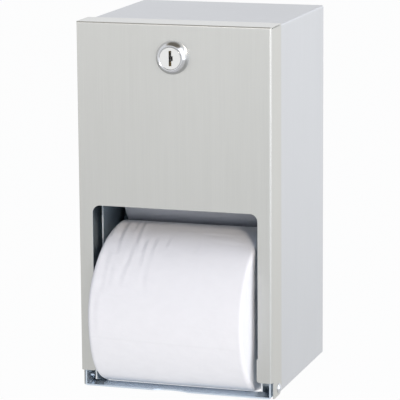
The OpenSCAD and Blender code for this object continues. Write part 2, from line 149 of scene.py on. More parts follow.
def stretched(tree: Tree, source: Socket, cell: tuple[float, float, float], **noise: float) -> Node:
    """Add noise whose cells have a real size along each axis.

    Args:
        tree: the material's tree.
        source: the coordinates that the noise reads, in metres.
        cell: the size of a cell along X, Y and Z, in metres.
        **noise: values for the noise node's sockets.

    Returns:
        The noise node.
    """
    scale = Vector([1 / c for c in cell])
    mapping = add_node(tree, "Mapping", {"Vector": source, "Scale": scale})
    values = {"Scale": 1.0, "Detail": 2.0, "Roughness": 0.55, **noise}
    return add_node(tree, "TexNoise", {"Vector": mapping.outputs[0], **values})


def spread(tree: Tree, value: Socket, low: float, high: float) -> Socket:
    """Map a 0 to 1 noise, whose values crowd round a half, to the range low to high."""
    node = add_node(
        tree,
        "MapRange",
        {"Value": value, "From Min": 0.25, "From Max": 0.75, "To Min": low, "To Max": high},
    )
    return node.outputs[0]


def tinted(tree: Tree, colour: str, factor: Socket) -> Socket:
    """Multiply a hex colour by a grey factor and return the result."""
    scale = add_node(tree, "CombineColor", {0: factor, 1: factor, 2: factor})
    mix = add_node(
        tree,
        "Mix",
        {0: 1.0, 6: linear(colour), 7: scale.outputs[0]},
        data_type="RGBA",
        blend_type="MULTIPLY",
    )
    return mix.outputs[2]


# ---------------------------------------------------------------- finishes


@dataclass(frozen=True)
class Grain:
    """A noise pattern with cells of a real size, in metres along X, Y and Z."""

    cell: tuple[float, float, float]
    detail: float = 2.0

    def drawn(self, tree: Tree, place: Socket) -> Socket:
        """Draw the pattern at the given coordinates, as a value from 0 to 1."""
        return stretched(tree, place, self.cell, Detail=self.detail).outputs[0]


@dataclass(frozen=True)
class GrainedFinish:
    """What the plainer finishes share: a shade, a gloss and a relief that each follow a pattern."""

    name: str
    colour: str = "#808080"
    roughness: float = 0.5
    metallic: float = 0.0
    # a metal keeps this default
    ior: float = 1.5
    shade_grain: Grain = Grain((MM, MM, MM))
    # the darkest and the lightest share of the colour
    shade: tuple[float, float] = (1.0, 1.0)
    gloss_grain: Grain = Grain((MM, MM, MM))
    # what is added to the roughness, at least and at most, or nothing where it is even
    gloss: tuple[float, float] | None = None
    relief_grain: Grain = Grain((MM, MM, MM))
    relief: float | None = None

    def shading(self, tree: Tree, place: Socket) -> Socket:
        """Give the grey factor that multiplies the colour at the given coordinates."""
        return spread(tree, self.shade_grain.drawn(tree, place), *self.shade)

    def values(self, tree: Tree, place: Socket) -> dict[str, Any]:
        """Work out what the surface shader's sockets take.

        Args:
            tree: the material's tree.
            place: the coordinates on the piece, in metres.

        Returns:
            Socket name to a value, or to the output socket that feeds it.
        """
        values: dict[str, Any] = {
            "Base Color": tinted(tree, self.colour, self.shading(tree, place)),
            "Metallic": self.metallic,
            "IOR": self.ior,
            "Roughness": self.roughness,
        }
        if self.gloss:
            low, high = (self.roughness + change for change in self.gloss)
            values["Roughness"] = spread(tree, self.gloss_grain.drawn(tree, place), low, high)
        if self.relief:
            height = self.relief_grain.drawn(tree, place)
            bump = add_node(tree, "Bump", {"Height": height, "Distance": self.relief})
            values["Normal"] = bump.outputs[0]
        return values

    def material(self) -> bpy.types.Material:
        """Build the finish's material.

        Returns:
            The material.
        """
        material, tree, output = new_tree(self.name)
        place = add_node(tree, "TexCoord").outputs["Object"]
        surface = add_node(tree, "BsdfPrincipled", self.values(tree, place))
        tree.links.new(surface.outputs[0], output.inputs[0])
        return material


class GrainPath(Enum):
    """How the rolling and brushing direction of a sheet runs over its bends."""

    WRAP = "up the sides and across the top"
    PAN = "up the front and over the top flange"


@dataclass(frozen=True)
class SatinStainless:
    """Type 304 stainless sheet with a number 4 satin finish, brushed along the sheet with a fine belt.

    The belt leaves parallel hairlines. They pull the reflections out across themselves and leave
    them soft, so the sheet looks silky, with no clear mirror image.
    """

    name: str
    path: GrainPath
    middle: Vector
    colour: str = "#CFD0CE"
    roughness: float = 0.36
    anisotropy: float = 0.75
    # real hairlines are about 0.1 mm wide; they are drawn 0.45 mm wide, so that they just show
    line_width: float = 0.45 * MM
    line_length: float = 60 * MM
    line_contrast: float = 0.023
    # worn spots of the belt leave broader and longer streaks
    streak_width: float = 4 * MM
    streak_length: float = 180 * MM
    streak_contrast: float = 0.008
    relief: float = 0.004 * MM
    # cloudy patches, and the sheet's own slight waves
    cloud: tuple[float, float, float] = (45 * MM, 45 * MM, 80 * MM)
    cloud_contrast: float = 0.01
    waviness: float = 0.1 * MM
    # only the outer side is brushed; the inner side is left as it comes from the mill, pickled and dull,
    # and scatters part of the light all round, which a share of plain colour stands for
    # its bluish colour is painted shade, for the bluish light inside the cabinet
    inner: GrainedFinish = GrainedFinish(
        "pickled_side", "#B9C5CC", 0.52, 0.7, 1.5, Grain((2 * MM,) * 3, 4.0), (0.95, 1.04)
    )

    def across(self, tree: Tree) -> Socket:
        """Find the direction across the hairlines, in the plane of each face of the bent sheet.

        Args:
            tree: the material's tree.

        Returns:
            The direction in world space, for the shader's tangent.
        """
        normal = add_node(tree, "TexCoord").outputs["Normal"]
        size = add_node(tree, "VectorMath", {0: normal}, operation="ABSOLUTE").outputs[0]
        parts = add_node(tree, "SeparateXYZ", {0: size}).outputs
        lying = "X" if self.path is GrainPath.WRAP else "Y"
        both = add_node(tree, "Math", {0: parts[lying], 1: parts["Z"]}).outputs[0]
        if self.path is GrainPath.WRAP:
            turned = {"X": parts["Y"], "Y": both}
        else:
            turned = {"X": both, "Y": parts["X"]}
        local = add_node(tree, "CombineXYZ", turned).outputs[0]
        world = add_node(
            tree,
            "VectorTransform",
            {"Vector": local},
            vector_type="VECTOR",
            convert_from="OBJECT",
            convert_to="WORLD",
        )
        return world.outputs[0]

    def hairlines(self, tree: Tree, place: Socket, width: float, length: float) -> Socket:
        """Draw lines that run up the walls and, on a level face, along the sheet.

        Args:
            tree: the material's tree.
            place: the coordinates on the piece, in metres.
            width: the width of a line, in metres.
            length: the length of a line, in metres.

        Returns:
            A value from 0 to 1.
        """
        normal = add_node(tree, "TexCoord").outputs["Normal"]
        rise = add_node(tree, "SeparateXYZ", {0: normal}).outputs["Z"]
        level = add_node(tree, "Math", {0: rise}, operation="ABSOLUTE").outputs[0]
        over_top = (length, width, width) if self.path is GrainPath.WRAP else (width, length, width)
        walls = stretched(tree, place, (width, width, length)).outputs[0]
        top = stretched(tree, place, over_top).outputs[0]
        return add_node(tree, "Mix", {0: level, 2: walls, 3: top}).outputs[0]

    def inner_side(self, tree: Tree, place: Socket) -> tuple[Socket, Socket]:
        """Make the dull mill side, which is every face that looks towards the middle of the piece.

        Args:
            tree: the material's tree.
            place: the coordinates on the piece, in metres.

        Returns:
            One on the inner faces and nought elsewhere, and the mill side's shader.
        """
        normal = add_node(tree, "TexCoord").outputs["Normal"]
        outward = add_node(tree, "VectorMath", {0: place, 1: self.middle}, operation="SUBTRACT").outputs[0]
        facing = add_node(tree, "VectorMath", {0: normal, 1: outward}, operation="DOT_PRODUCT").outputs[1]
        inner = add_node(tree, "Math", {0: facing, 1: 0.0}, operation="LESS_THAN").outputs[0]
        dull = add_node(tree, "BsdfPrincipled", self.inner.values(tree, place))
        return inner, dull.outputs[0]

    def material(self) -> bpy.types.Material:
        """Build the satin sheet's material.

        Returns:
            The material.
        """
        material, tree, output = new_tree(self.name)
        place = add_node(tree, "TexCoord").outputs["Object"]
        grain = self.hairlines(tree, place, self.line_width, self.line_length)
        streaks = self.hairlines(tree, place, self.streak_width, self.streak_length)
        clouds = stretched(tree, place, self.cloud, Detail=3.0).outputs[0]
        fine = add_node(
            tree,
            "Math",
            {
                0: spread(tree, grain, 1 - self.line_contrast, 1 + self.line_contrast),
                1: spread(tree, streaks, 1 - self.streak_contrast, 1 + self.streak_contrast),
            },
            operation="MULTIPLY",
        ).outputs[0]
        shade = add_node(
            tree,
            "Math",
            {0: fine, 1: spread(tree, clouds, 1 - self.cloud_contrast, 1 + self.cloud_contrast)},
            operation="MULTIPLY",
        ).outputs[0]
        relief = add_node(tree, "Bump", {"Height": grain, "Distance": self.relief, "Strength": 0.6})
        waves = add_node(
            tree, "Bump", {"Height": clouds, "Distance": self.waviness, "Normal": relief.outputs[0]}
        )
        surface = add_node(
            tree,
            "BsdfPrincipled",
            {
                "Base Color": tinted(tree, self.colour, shade),
                "Metallic": 1.0,
                "Roughness": spread(tree, grain, self.roughness - 0.03, self.roughness + 0.03),
                "Anisotropic": self.anisotropy,
                "Tangent": self.across(tree),
                "Normal": waves.outputs[0],
            },
        )
        inner, dull = self.inner_side(tree, place)
        sides = add_node(tree, "MixShader", {0: inner, 1: surface.outputs[0], 2: dull})
        tree.links.new(sides.outputs[0], output.inputs[0])
        return material


@dataclass(frozen=True)
class MillStainless(GrainedFinish):
    """Stainless strip as it leaves the mill, cold rolled, pickled and skin passed: greyer and duller."""

    # painted shade: the bluish tint stands in for the bluish light inside the cabinet, where the plates
    # stand
    colour: str = "#B6C3CB"
    roughness: float = 0.34
    # a pickled surface scatters part of the light all round, which a share of plain colour stands for
    metallic: float = 0.8
    shade_grain: Grain = Grain((1.6 * MM,) * 3, 4.0)
    shade: tuple[float, float] = (0.96, 1.04)
    # cloudy patches from the pickling
    gloss_grain: Grain = Grain((30 * MM, 30 * MM, 55 * MM))
    gloss: tuple[float, float] | None = (-0.05, 0.06)
    patch_shade: tuple[float, float] = (0.94, 1.05)
    relief_grain: Grain = shade_grain
    relief: float | None = 0.01 * MM
    # painted highlight: every face that looks to the front within about 25 degrees takes a lighter colour
    # and less metal, for the light that catches the front edges
    rubbed_from: float = 0.9
    rubbed_colour: str = "#F4F7F8"
    rubbed_metallic: float = 0.35

    def shading(self, tree: Tree, place: Socket) -> Socket:
        """Give the grey factor of the specks and the patches at the given coordinates."""
        patches = spread(tree, self.gloss_grain.drawn(tree, place), *self.patch_shade)
        specks = super().shading(tree, place)
        factors = {0: specks, 1: patches}
        return add_node(tree, "Math", factors, operation="MULTIPLY").outputs[0]

    def values(self, tree: Tree, place: Socket) -> dict[str, Any]:
        """Work out the sockets as for any grained finish, with a painted highlight on the faces that look to
        the front.

        Args:
            tree: the material's tree.
            place: the coordinates on the piece, in metres.

        Returns:
            Socket name to a value, or to the output socket that feeds it.
        """
        values = super().values(tree, place)
        # painted highlight: faces that look to the front take a lighter colour and less metal
        facing = add_node(
            tree,
            "VectorMath",
            {0: add_node(tree, "TexCoord").outputs["Normal"], 1: FRONTWARD},
            operation="DOT_PRODUCT",
        ).outputs["Value"]
        rubbed = add_node(
            tree, "Math", {0: facing, 1: self.rubbed_from}, operation="GREATER_THAN"
        ).outputs[0]
        bright = tinted(tree, self.rubbed_colour, self.shading(tree, place))
        colour = add_node(tree, "Mix", {0: rubbed, 6: values["Base Color"], 7: bright}, data_type="RGBA")
        values["Base Color"] = colour.outputs[2]
        values["Metallic"] = spread(tree, rubbed, self.metallic, self.rubbed_metallic)
        return values


@dataclass(frozen=True)
class BrightStainless(GrainedFinish):
    """Bright annealed stainless sheet: rolled on polished rolls and left unbrushed, near a mirror.

    It shows a clear image of what stands over it, broken by faint rolling lines; its bluish colour is a
    painted tint of that image.
    """

    colour: str = "#CDD9E6"
    roughness: float = 0.15
    # less than one on a hazed sheet, which scatters part of the light; on the rail the lower share is also
    # painted reflection
    metallic: float = 1.0
    # rolling lines run along the strip; they are a few tenths of a millimetre apart
    shade_grain: Grain = Grain((40 * MM, 0.6 * MM, 0.6 * MM))
    shade: tuple[float, float] = (0.95, 1.04)
    gloss_grain: Grain = shade_grain
    gloss: tuple[float, float] | None = (-0.04, 0.06)
    # a thin sheet is never dead flat, so its image wavers
    relief_grain: Grain = Grain((16 * MM, 7 * MM, 7 * MM))
    relief: float | None = 0.03 * MM


@dataclass(frozen=True)
class PlatedZinc(GrainedFinish):
    """Zinc die casting with bright chrome plating, polished before it is plated: near a mirror."""

    colour: str = "#CDCED0"
    roughness: float = 0.13
    metallic: float = 1.0
    # the plating's faint haze
    shade_grain: Grain = Grain((0.5 * MM,) * 3, 3.0)
    shade: tuple[float, float] = (0.97, 1.02)
    gloss_grain: Grain = shade_grain
    gloss: tuple[float, float] | None = (-0.03, 0.05)
    # polishing leaves faint ripples of a few millimetres
    relief_grain: Grain = Grain((2.5 * MM,) * 3)
    relief: float | None = 0.015 * MM


@dataclass(frozen=True)
class StampedBrass(GrainedFinish):
    """Brass strip, stamped and darkened by oil and years of keys: warm, brown and dull."""

    colour: str = "#6E6043"
    roughness: float = 0.44
    metallic: float = 1.0
    # tarnish lies in small spots
    shade_grain: Grain = Grain((1.2 * MM,) * 3, 3.0)
    shade: tuple[float, float] = (0.85, 1.05)
    gloss_grain: Grain = shade_grain
    gloss: tuple[float, float] | None = (0.0, 0.12)


@dataclass(frozen=True)
class MouldedAbs(GrainedFinish):
    """ABS, injection moulded in a spark-eroded tool, which leaves an even, fine, dull texture."""

    colour: str = "#4A4E52"
    roughness: float = 0.46
    ior: float = 1.54
    # the melt's flow leaves broad, faint differences of shade
    shade_grain: Grain = Grain((14 * MM,) * 3)
    shade: tuple[float, float] = (0.93, 1.06)
    # the tool's spark pits are finer than this; they are drawn as coarse as they need to show
    gloss_grain: Grain = Grain((0.45 * MM,) * 3, 3.0)
    gloss: tuple[float, float] | None = (-0.05, 0.07)
    relief_grain: Grain = gloss_grain
    relief: float | None = 0.02 * MM


@dataclass(frozen=True)
class KraftBoard(GrainedFinish):
    """Grey-brown core board, wound in a spiral from recycled pulp: matt, flecked with fibres."""

    colour: str = "#A78C68"
    roughness: float = 0.88
    # pulp fibres, drawn as thick as they need to show
    shade_grain: Grain = Grain((2.5 * MM, 0.5 * MM, 0.5 * MM), 4.0)
    shade: tuple[float, float] = (0.82, 1.1)
    relief_grain: Grain = shade_grain
    relief: float | None = 0.06 * MM


@dataclass(frozen=True)
class CrepedTissue(GrainedFinish):
    """Bleached two-ply tissue, creped off a drying cylinder: matt white, with fine ridges along the roll."""

    colour: str = "#F2F1F2"
    roughness: float = 0.92
    ior: float = 1.45
    # a soft halo from the loose fibres
    sheen: float = 0.08
    # soft paper cockles where it isn't wound tight
    shade_grain: Grain = Grain((11 * MM, 8 * MM, 8 * MM))
    shade: tuple[float, float] = (0.985, 1.01)
    cockle: float = 0.35 * MM
    # creping ridges are about 0.3 mm apart; they are drawn 0.9 mm apart to show at all
    relief_grain: Grain = Grain((9 * MM, 0.9 * MM, 0.9 * MM), 3.0)
    relief: float | None = 0.05 * MM

    def values(self, tree: Tree, place: Socket) -> dict[str, Any]:
        """Work out the sockets as for any grained finish, with the cockles over the ridges.

        Args:
            tree: the material's tree.
            place: the coordinates on the piece, in metres.

        Returns:
            Socket name to a value, or to the output socket that feeds it.
        """
        values = super().values(tree, place)
        cockles = self.shade_grain.drawn(tree, place)
        waves = add_node(
            tree, "Bump", {"Height": cockles, "Distance": self.cockle, "Normal": values["Normal"]}
        )
        return {**values, "Sheen Weight": self.sheen, "Normal": waves.outputs[0]}


@dataclass(frozen=True)
class TissueEdges:
    """The cut ends of the wound tissue: hundreds of turns on edge, soft and slightly darker between them."""

    name: str
    axis_y: float
    axis_z: float
    # painted highlight: the ends are a lighter white than the sheet, for the side light that falls on them
    colour: str = "#F8F8FA"
    ior: float = 1.45
    # a turn is about 0.12 mm thick; bands of turns are drawn 0.9 mm wide to show at all
    band: float = 0.9 * MM
    band_height: float = 0.25 * MM

    def material(self) -> bpy.types.Material:
        """Build the material of the roll's ends.

        Returns:
            The material.
        """
        material, tree, output = new_tree(self.name)
        place = add_node(tree, "TexCoord").outputs["Object"]
        offset = add_node(
            tree, "VectorMath", {0: place, 1: (0.0, self.axis_y, self.axis_z)}, operation="SUBTRACT"
        ).outputs[0]
        across = add_node(
            tree, "VectorMath", {0: offset, 1: (0.0, 1.0, 1.0)}, operation="MULTIPLY"
        ).outputs[0]
        radius = add_node(tree, "VectorMath", {0: across}, operation="LENGTH").outputs[1]
        turns = add_node(
            tree, "TexNoise", {"W": radius, "Scale": 1 / self.band, "Detail": 2.0}, noise_dimensions="1D"
        ).outputs[0]
        relief = add_node(tree, "Bump", {"Height": turns, "Distance": self.band_height})
        surface = add_node(
            tree,
            "BsdfPrincipled",
            {
                "Base Color": tinted(tree, self.colour, spread(tree, turns, 0.96, 1.0)),
                "IOR": self.ior,
                "Roughness": 0.95,
                "Normal": relief.outputs[0],
            },
        )
        tree.links.new(surface.outputs[0], output.inputs[0])
        return material


# ---------------------------------------------------------------- stage


@dataclass
class PhotoCamera:
    """The photograph's camera, from a fit of the cabinet's edges in the 400 pixel frame."""

    focal_px: float = 2523.0
    frame_px: float = 400.0
    sensor: float = 36.0
    yaw: float = math.radians(17.756)
    pitch: float = math.radians(11.261)
    roll: float = math.radians(-0.418)
    target: tuple[float, float, float] = (-4.57 * MM, -75.0 * MM, -6.48 * MM)
    distance: float = 1992.6 * MM
    nearest: float = 0.05
    farthest: float = 60.0

    def axes(self) -> tuple[Vector, Vector, Vector]:
        """Work out how the camera stands.

        Returns:
            Its directions to the right, upwards and forwards, as unit vectors.
        """
        forward = Vector(
            (
                -math.sin(self.yaw) * math.cos(self.pitch),
                math.cos(self.yaw) * math.cos(self.pitch),
                -math.sin(self.pitch),
            )
        )
        level = Vector((math.cos(self.yaw), math.sin(self.yaw), 0.0))
        upward = level.cross(forward)
        right = math.cos(self.roll) * level + math.sin(self.roll) * upward
        above = -math.sin(self.roll) * level + math.cos(self.roll) * upward
        return right, above, forward

    def sight(self, pixel: tuple[float, float]) -> tuple[Vector, Vector]:
        """Find the line of sight through a pixel of the photograph.

        Args:
            pixel: its place in the 400 pixel frame, from the left and from the top.

        Returns:
            The camera's place and the direction of sight.
        """
        right, above, forward = self.axes()
        aside = (pixel[0] - self.frame_px / 2) / self.focal_px
        up = (self.frame_px / 2 - pixel[1]) / self.focal_px
        place = Vector(self.target) - forward * self.distance
        return place, right * aside + above * up + forward

    def build(self) -> bpy.types.Object:
        """Make the camera and give it to the scene.

        Returns:
            The camera object.
        """
        right, above, forward = self.axes()
        data = bpy.data.cameras.new("photo_camera")
        data.sensor_width = self.sensor
        data.lens = self.focal_px / self.frame_px * self.sensor
        data.clip_start, data.clip_end = self.nearest, self.farthest
        camera = bpy.data.objects.new("photo_camera", data)
        turn = Matrix((right, above, -forward)).transposed().to_4x4()
        place = Vector(self.target) - forward * self.distance
        camera.matrix_world = Matrix.Translation(place) @ turn
        bpy.context.scene.collection.objects.link(camera)
        bpy.context.scene.camera = camera
        return camera


@dataclass(frozen=True)
class SoftBox:
    """One square lamp, placed by its direction from the dispenser."""

    name: str
    azimuth: float
    elevation: float
    distance: float
    size: float
    power: float
    colour: str = "#FFFFFF"

    def hang(self, centre: Vector) -> None:
        """Hang the lamp so that it faces a point.

        Args:
            centre: the point that it faces, in metres.
        """
        azimuth, elevation = math.radians(self.azimuth), math.radians(self.elevation)
        away = Vector(
            (
                math.sin(azimuth) * math.cos(elevation),
                -math.cos(azimuth) * math.cos(elevation),
                math.sin(elevation),
            )
        )
        data = bpy.data.lights.new(self.name, "AREA")
        data.shape, data.size, data.energy = "SQUARE", self.size, self.power
        data.color = linear(self.colour)[:3]
        lamp = bpy.data.objects.new(self.name, data)
        lamp.rotation_mode = "QUATERNION"
        lamp.location = centre + away * self.distance
        lamp.rotation_quaternion = away.to_track_quat("Z", "Y")
        bpy.context.scene.collection.objects.link(lamp)


@dataclass
class Studio:
    """A pale floor well below the hung dispenser, a white surround and soft lamps."""

    drop: float = 0.6
    floor_half: float = 14.0
    floor_colour: str = "#F2F2F3"
    # share of the floor's light that is its own, so that it stays pale and keeps a light shadow
    glow_seen: float = 0.97
    glow_cast: float = 0.66
    # the floor's look in metal carries a painted shade: a little darker just in front, growing lighter with
    # the distance
    dim_centre_y: float = -1.6
    dim: float = 0.72
    dim_from: float = 1.0
    dim_to: float = 5.5
    ambient: float = 0.42
    ambient_colour: str = "#DCE8FF"
    horizon_colour: str = "#F8F9FC"
    ceiling_colour: str = "#F0E2C8"
    horizon: float = 1.1
    zenith: float = 0.22
    # the dim ceiling's edge, as the sine of its elevation: where it begins and where it is full
    ceiling_from: float = 0.72
    ceiling_to: float = 0.93
    boxes: tuple[SoftBox, ...] = (
        SoftBox("key", 34.0, 23.0, 1.7, 0.22, 11.6, "#FFF4E8"),
        SoftBox("side", 76.0, 22.0, 2.8, 3.6, 42.0, "#F2F6FF"),
        SoftBox("fill", 20.0, -8.0, 2.0, 0.9, 2.2, "#E4EEFF"),
    )

    def floor_glow(self, tree: Tree, rays: Any) -> Socket:
        """Grade the floor's own light by the distance from a point in front of the dispenser.

        Args:
            tree: the floor material's tree.
            rays: the Light Path node's outputs.

        Returns:
            The strength of the floor's own light.
        """
        place = add_node(tree, "TexCoord").outputs["Object"]
        offset = add_node(
            tree,
            "VectorMath",
            {0: place, 1: (0.0, self.dim_centre_y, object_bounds()[0].z - self.drop)},
            operation="SUBTRACT",
        ).outputs[0]
        away = add_node(tree, "VectorMath", {0: offset}, operation="LENGTH").outputs[1]
        graded = add_node(
            tree,
            "MapRange",
            {
                "Value": away,
                "From Min": self.dim_from,
                "From Max": self.dim_to,
                "To Min": self.dim,
                "To Max": 1.0,
            },
        ).outputs[0]
        return add_node(tree, "Mix", {0: rays["Is Glossy Ray"], 2: 1.0, 3: graded}).outputs[0]

    def floor(self) -> bpy.types.Object:
        """Lay the floor.

        Returns:
            The floor object, marked as stage.
        """
        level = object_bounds()[0].z - self.drop
        half = self.floor_half
        mesh = bpy.data.meshes.new("studio_floor")
        corners = [(-half, -half, level), (half, -half, level), (half, half, level), (-half, half, level)]
        mesh.from_pydata(corners, [], [(0, 1, 2, 3)])
        floor = bpy.data.objects.new("studio_floor", mesh)
        bpy.context.scene.collection.objects.link(floor)
        material, tree, output = new_tree("pale_floor")
        rays = add_node(tree, "LightPath").outputs
        share = add_node(
            tree, "Mix", {0: self.seen(tree, rays), 2: self.glow_cast, 3: self.glow_seen}
        ).outputs[0]
        matt = add_node(tree, "BsdfDiffuse", {"Color": linear(self.floor_colour)})
        white = add_node(
            tree, "Emission", {"Color": linear("#FFFFFF"), "Strength": self.floor_glow(tree, rays)}
        )
        blend = add_node(tree, "MixShader", {0: share, 1: matt.outputs[0], 2: white.outputs[0]})
        tree.links.new(blend.outputs[0], output.inputs[0])
        mesh.materials.append(material)
        floor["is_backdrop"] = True
        LOG.info("laid %s", floor.name)
        return floor

    def clear(self, tree: Tree, rays: Any) -> Socket:
        """Give one for camera and transmission rays and nought for the others."""
        return add_node(
            tree, "Math", {0: rays["Is Camera Ray"], 1: rays["Is Transmission Ray"]}, operation="MAXIMUM"
        ).outputs[0]

    def seen(self, tree: Tree, rays: Any) -> Socket:
        """Give one for camera, glossy and transmission rays, which show the background."""
        return add_node(
            tree, "Math", {0: self.clear(tree, rays), 1: rays["Is Glossy Ray"]}, operation="MAXIMUM"
        ).outputs[0]

    def surroundings(self) -> None:
        """Light the scene from all round, with a white look to the camera and a dim ceiling in the metal."""
        world = bpy.data.worlds.new("studio")
        bpy.context.scene.world = world
        world.use_nodes = True
        tree = world.node_tree
        tree.nodes.clear()
        output = add_node(tree, "OutputWorld")
        rays = add_node(tree, "LightPath").outputs
        direction = add_node(tree, "TexCoord").outputs["Generated"]
        height = add_node(tree, "SeparateXYZ", {0: direction}).outputs["Z"]
        ceiling = add_node(
            tree,
            "MapRange",
            {
                "Value": height,
                "From Min": self.ceiling_from,
                "From Max": self.ceiling_to,
                "To Min": 1.0,
                "To Max": self.zenith,
            },
            interpolation_type="SMOOTHSTEP",
        ).outputs[0]
        shown = add_node(tree, "Math", {0: ceiling, 1: self.horizon}, operation="MULTIPLY").outputs[0]
        lit = add_node(tree, "Mix", {0: self.seen(tree, rays), 2: self.ambient, 3: shown}).outputs[0]
        clear = self.clear(tree, rays)
        strength = add_node(tree, "Mix", {0: clear, 2: lit, 3: 1.0}).outputs[0]
        mirrored = add_node(
            tree,
            "Mix",
            {0: ceiling, 6: linear(self.ceiling_colour), 7: linear(self.horizon_colour)},
            data_type="RGBA",
        ).outputs[2]
        tint = add_node(
            tree,
            "Mix",
            {0: self.seen(tree, rays), 6: linear(self.ambient_colour), 7: mirrored},
            data_type="RGBA",
        ).outputs[2]
        colour = add_node(
            tree, "Mix", {0: clear, 6: tint, 7: linear("#FFFFFF")}, data_type="RGBA"
        ).outputs[2]
        sky = add_node(tree, "Background", {"Color": colour, "Strength": strength})
        tree.links.new(sky.outputs[0], output.inputs[0])

    def build(self) -> None:
        """Lay the floor, light the surroundings, hang the lamps and set the plain view."""
        self.floor()
        self.surroundings()
        low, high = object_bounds()
        for box in self.boxes:
            box.hang((low + high) / 2)
            LOG.info("hung the %s lamp", box.name)
        bpy.context.scene.view_settings.view_transform = "Standard"


# ---------------------------------------------------------------- metalwork


# vertices closer than this are one; edges sharper than this angle are rounded
WELD_GAP = 0.001 * MM
SHARP_FROM = math.radians(30)
# how strongly the large faces keep their own shading beside the roundings
FACE_WEIGHT = 80


def soften(piece: bpy.types.Object, width: float, segments: int = 2) -> None:
    """Round the sharp edges of a CAD piece a little, as deburring does, without changing its mesh.

    Args:
        piece: the CAD node's object.
        width: the width of the rounding, in metres.
        segments: how many faces the rounding has.
    """
    weld = piece.modifiers.new("weld", "WELD")
    weld.merge_threshold = WELD_GAP
    bevel = piece.modifiers.new("deburr", "BEVEL")
    bevel.width, bevel.segments = width, segments
    bevel.limit_method, bevel.angle_limit = "ANGLE", SHARP_FROM
    bevel.use_clamp_overlap = True
    normals = piece.modifiers.new("shading", "WEIGHTED_NORMAL")
    normals.keep_sharp = False
    normals.weight = FACE_WEIGHT


@dataclass
class Sheetwork:
    """The cabinet, its inner plates, rail and strike, and the door."""

    nodes: dict[str, bpy.types.Object]
    edge: float = 0.12 * MM
    # the inner plates' edges are rolled round, so that they don't cut whoever loads the rolls
    rolled_edge: float = 0.5 * MM
    # painted reflection: cabinet and door are one steel; the cabinet's bluish colour and the door's warmer
    # one stand in for the light that their faces mirror
    wrap_colour: str = "#D4D6D9"
    pan_colour: str = "#D0D0CC"
    mill: MillStainless = field(default_factory=lambda: MillStainless("mill_plate"))
    # painted reflection: the rail's pale blue colour and its share of plain colour stand in for the bluish,
    # shaded tissue that the rail mirrors, and lighten it
    bright: BrightStainless = field(
        default_factory=lambda: BrightStainless("bright_rail", "#D8E4F0", metallic=0.65)
    )
    rivet: BrightStainless = field(
        default_factory=lambda: BrightStainless("headed_rivet", "#D2D5D9", 0.12)
    )

    def satin(self, node: str, path: GrainPath, colour: str) -> bpy.types.Material:
        """Build the satin finish of one bent sheet.

        Args:
            node: the sheet's node.
            path: how the hairlines run over its bends.
            colour: the sheet's colour.

        Returns:
            The material.
        """
        low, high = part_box(node)
        return SatinStainless("satin_" + node, path, (low + high) / 2, colour).material()

    def dress(self) -> None:
        """Give each sheet piece its finish and deburred edges."""
        mill = self.mill.material()
        finishes = {
            "cabinet_shell": self.satin("cabinet_shell", GrainPath.WRAP, self.wrap_colour),
            "cabinet_back": self.satin("cabinet_back", GrainPath.WRAP, self.wrap_colour),
            "door_panel": self.satin("door_panel", GrainPath.PAN, self.pan_colour),
            "lock_strike": mill,
            "housing_plate_left": mill,
            "housing_plate_right": mill,
            "bottom_rail": self.bright.material(),
            "hinge_rivets": self.rivet.material(),
        }
        for name, material in finishes.items():
            dress_node(self.nodes[name], material)
            rolled = name.startswith("housing_plate")
            soften(self.nodes[name], self.rolled_edge if rolled else self.edge, 4 if rolled else 2)


def dress_node(piece: bpy.types.Object, material: bpy.types.Material) -> None:
    """Put one material on a piece in place of what it has."""
    piece.data.materials.clear()
    piece.data.materials.append(material)
    LOG.info("dressed %s in %s", piece.name, material.name)


@dataclass
class TumblerLock:
    """The lock's casting, plug, cam and their small parts."""

    nodes: dict[str, bpy.types.Object]
    plated: PlatedZinc = field(default_factory=lambda: PlatedZinc("plated_casting"))
    plug: PlatedZinc = field(
        default_factory=lambda: PlatedZinc("satin_plug", "#F0F0EE", 0.3, relief_grain=Grain((1.2 * MM,) * 3))
    )
    brass: StampedBrass = field(default_factory=lambda: StampedBrass("wafer_brass"))
    mill: MillStainless = field(default_factory=lambda: MillStainless("pressed_cam", "#A9ADAF", 0.34))

    def dress(self) -> None:
        """Give each of the lock's pieces its finish and its broken edges."""
        plated, mill = self.plated.material(), self.mill.material()
        finishes = {
            "lock_barrel": plated,
            "lock_nut": plated,
            "cam_screw": plated,
            "lock_plug": self.plug.material(),
            "lock_wafers": self.brass.material(),
            "lock_cam": mill,
            "lock_washer": mill,
        }
        for name, material in finishes.items():
            dress_node(self.nodes[name], material)
        for name in ("lock_nut", "lock_cam", "lock_washer", "cam_screw", "lock_plug", "lock_barrel"):
            soften(self.nodes[name], 0.1 * MM)


# ---------------------------------------------------------------- rolls


@dataclass(frozen=True)
class Crease:
    """A soft fold in the outer sheet between two places: it dips, rises steeply and levels out again.

    Places are given along the axis, in metres, and round the roll, in degrees above its front.
    """

    x_first: float
    turn_first: float
    x_last: float
    turn_last: float
    width: float
    depth: float
    # the profile is (slope * aside - dip) * exp(-aside^2), with aside counted in widths
    slope: float = 1.2
    dip: float = 0.3
    reach: float = 3.5
    # the fold fades out at its ends; a larger value makes it end more abruptly
    stretch: float = 1.1
    abruptness: int = 4

    def lift(self, x: float, turn: float, radius: float) -> float:
        """Give the height of the fold at a place on the roll.

        Args:
            x: distance along the roll's axis, in metres.
            turn: angle above the roll's front, in radians.
            radius: the roll's radius, in metres.

        Returns:
            The height over the plain surface, in metres.
        """
        first = math.radians(self.turn_first) * radius
        run_x = self.x_last - self.x_first
        run_s = math.radians(self.turn_last) * radius - first
        length = math.hypot(run_x, run_s)
        off_x, off_s = x - self.x_first, turn * radius - first
        aside = math.copysign(1, run_s) * (off_x * run_s - off_s * run_x) / length / self.width
        if abs(aside) > self.reach:
            return 0.0
        along = 2 * (off_x * run_x + off_s * run_s) / length**2 - 1
        fade = math.exp(-((along / self.stretch) ** self.abruptness))
        return self.depth * fade * (self.slope * aside - self.dip) * math.exp(-(aside**2))


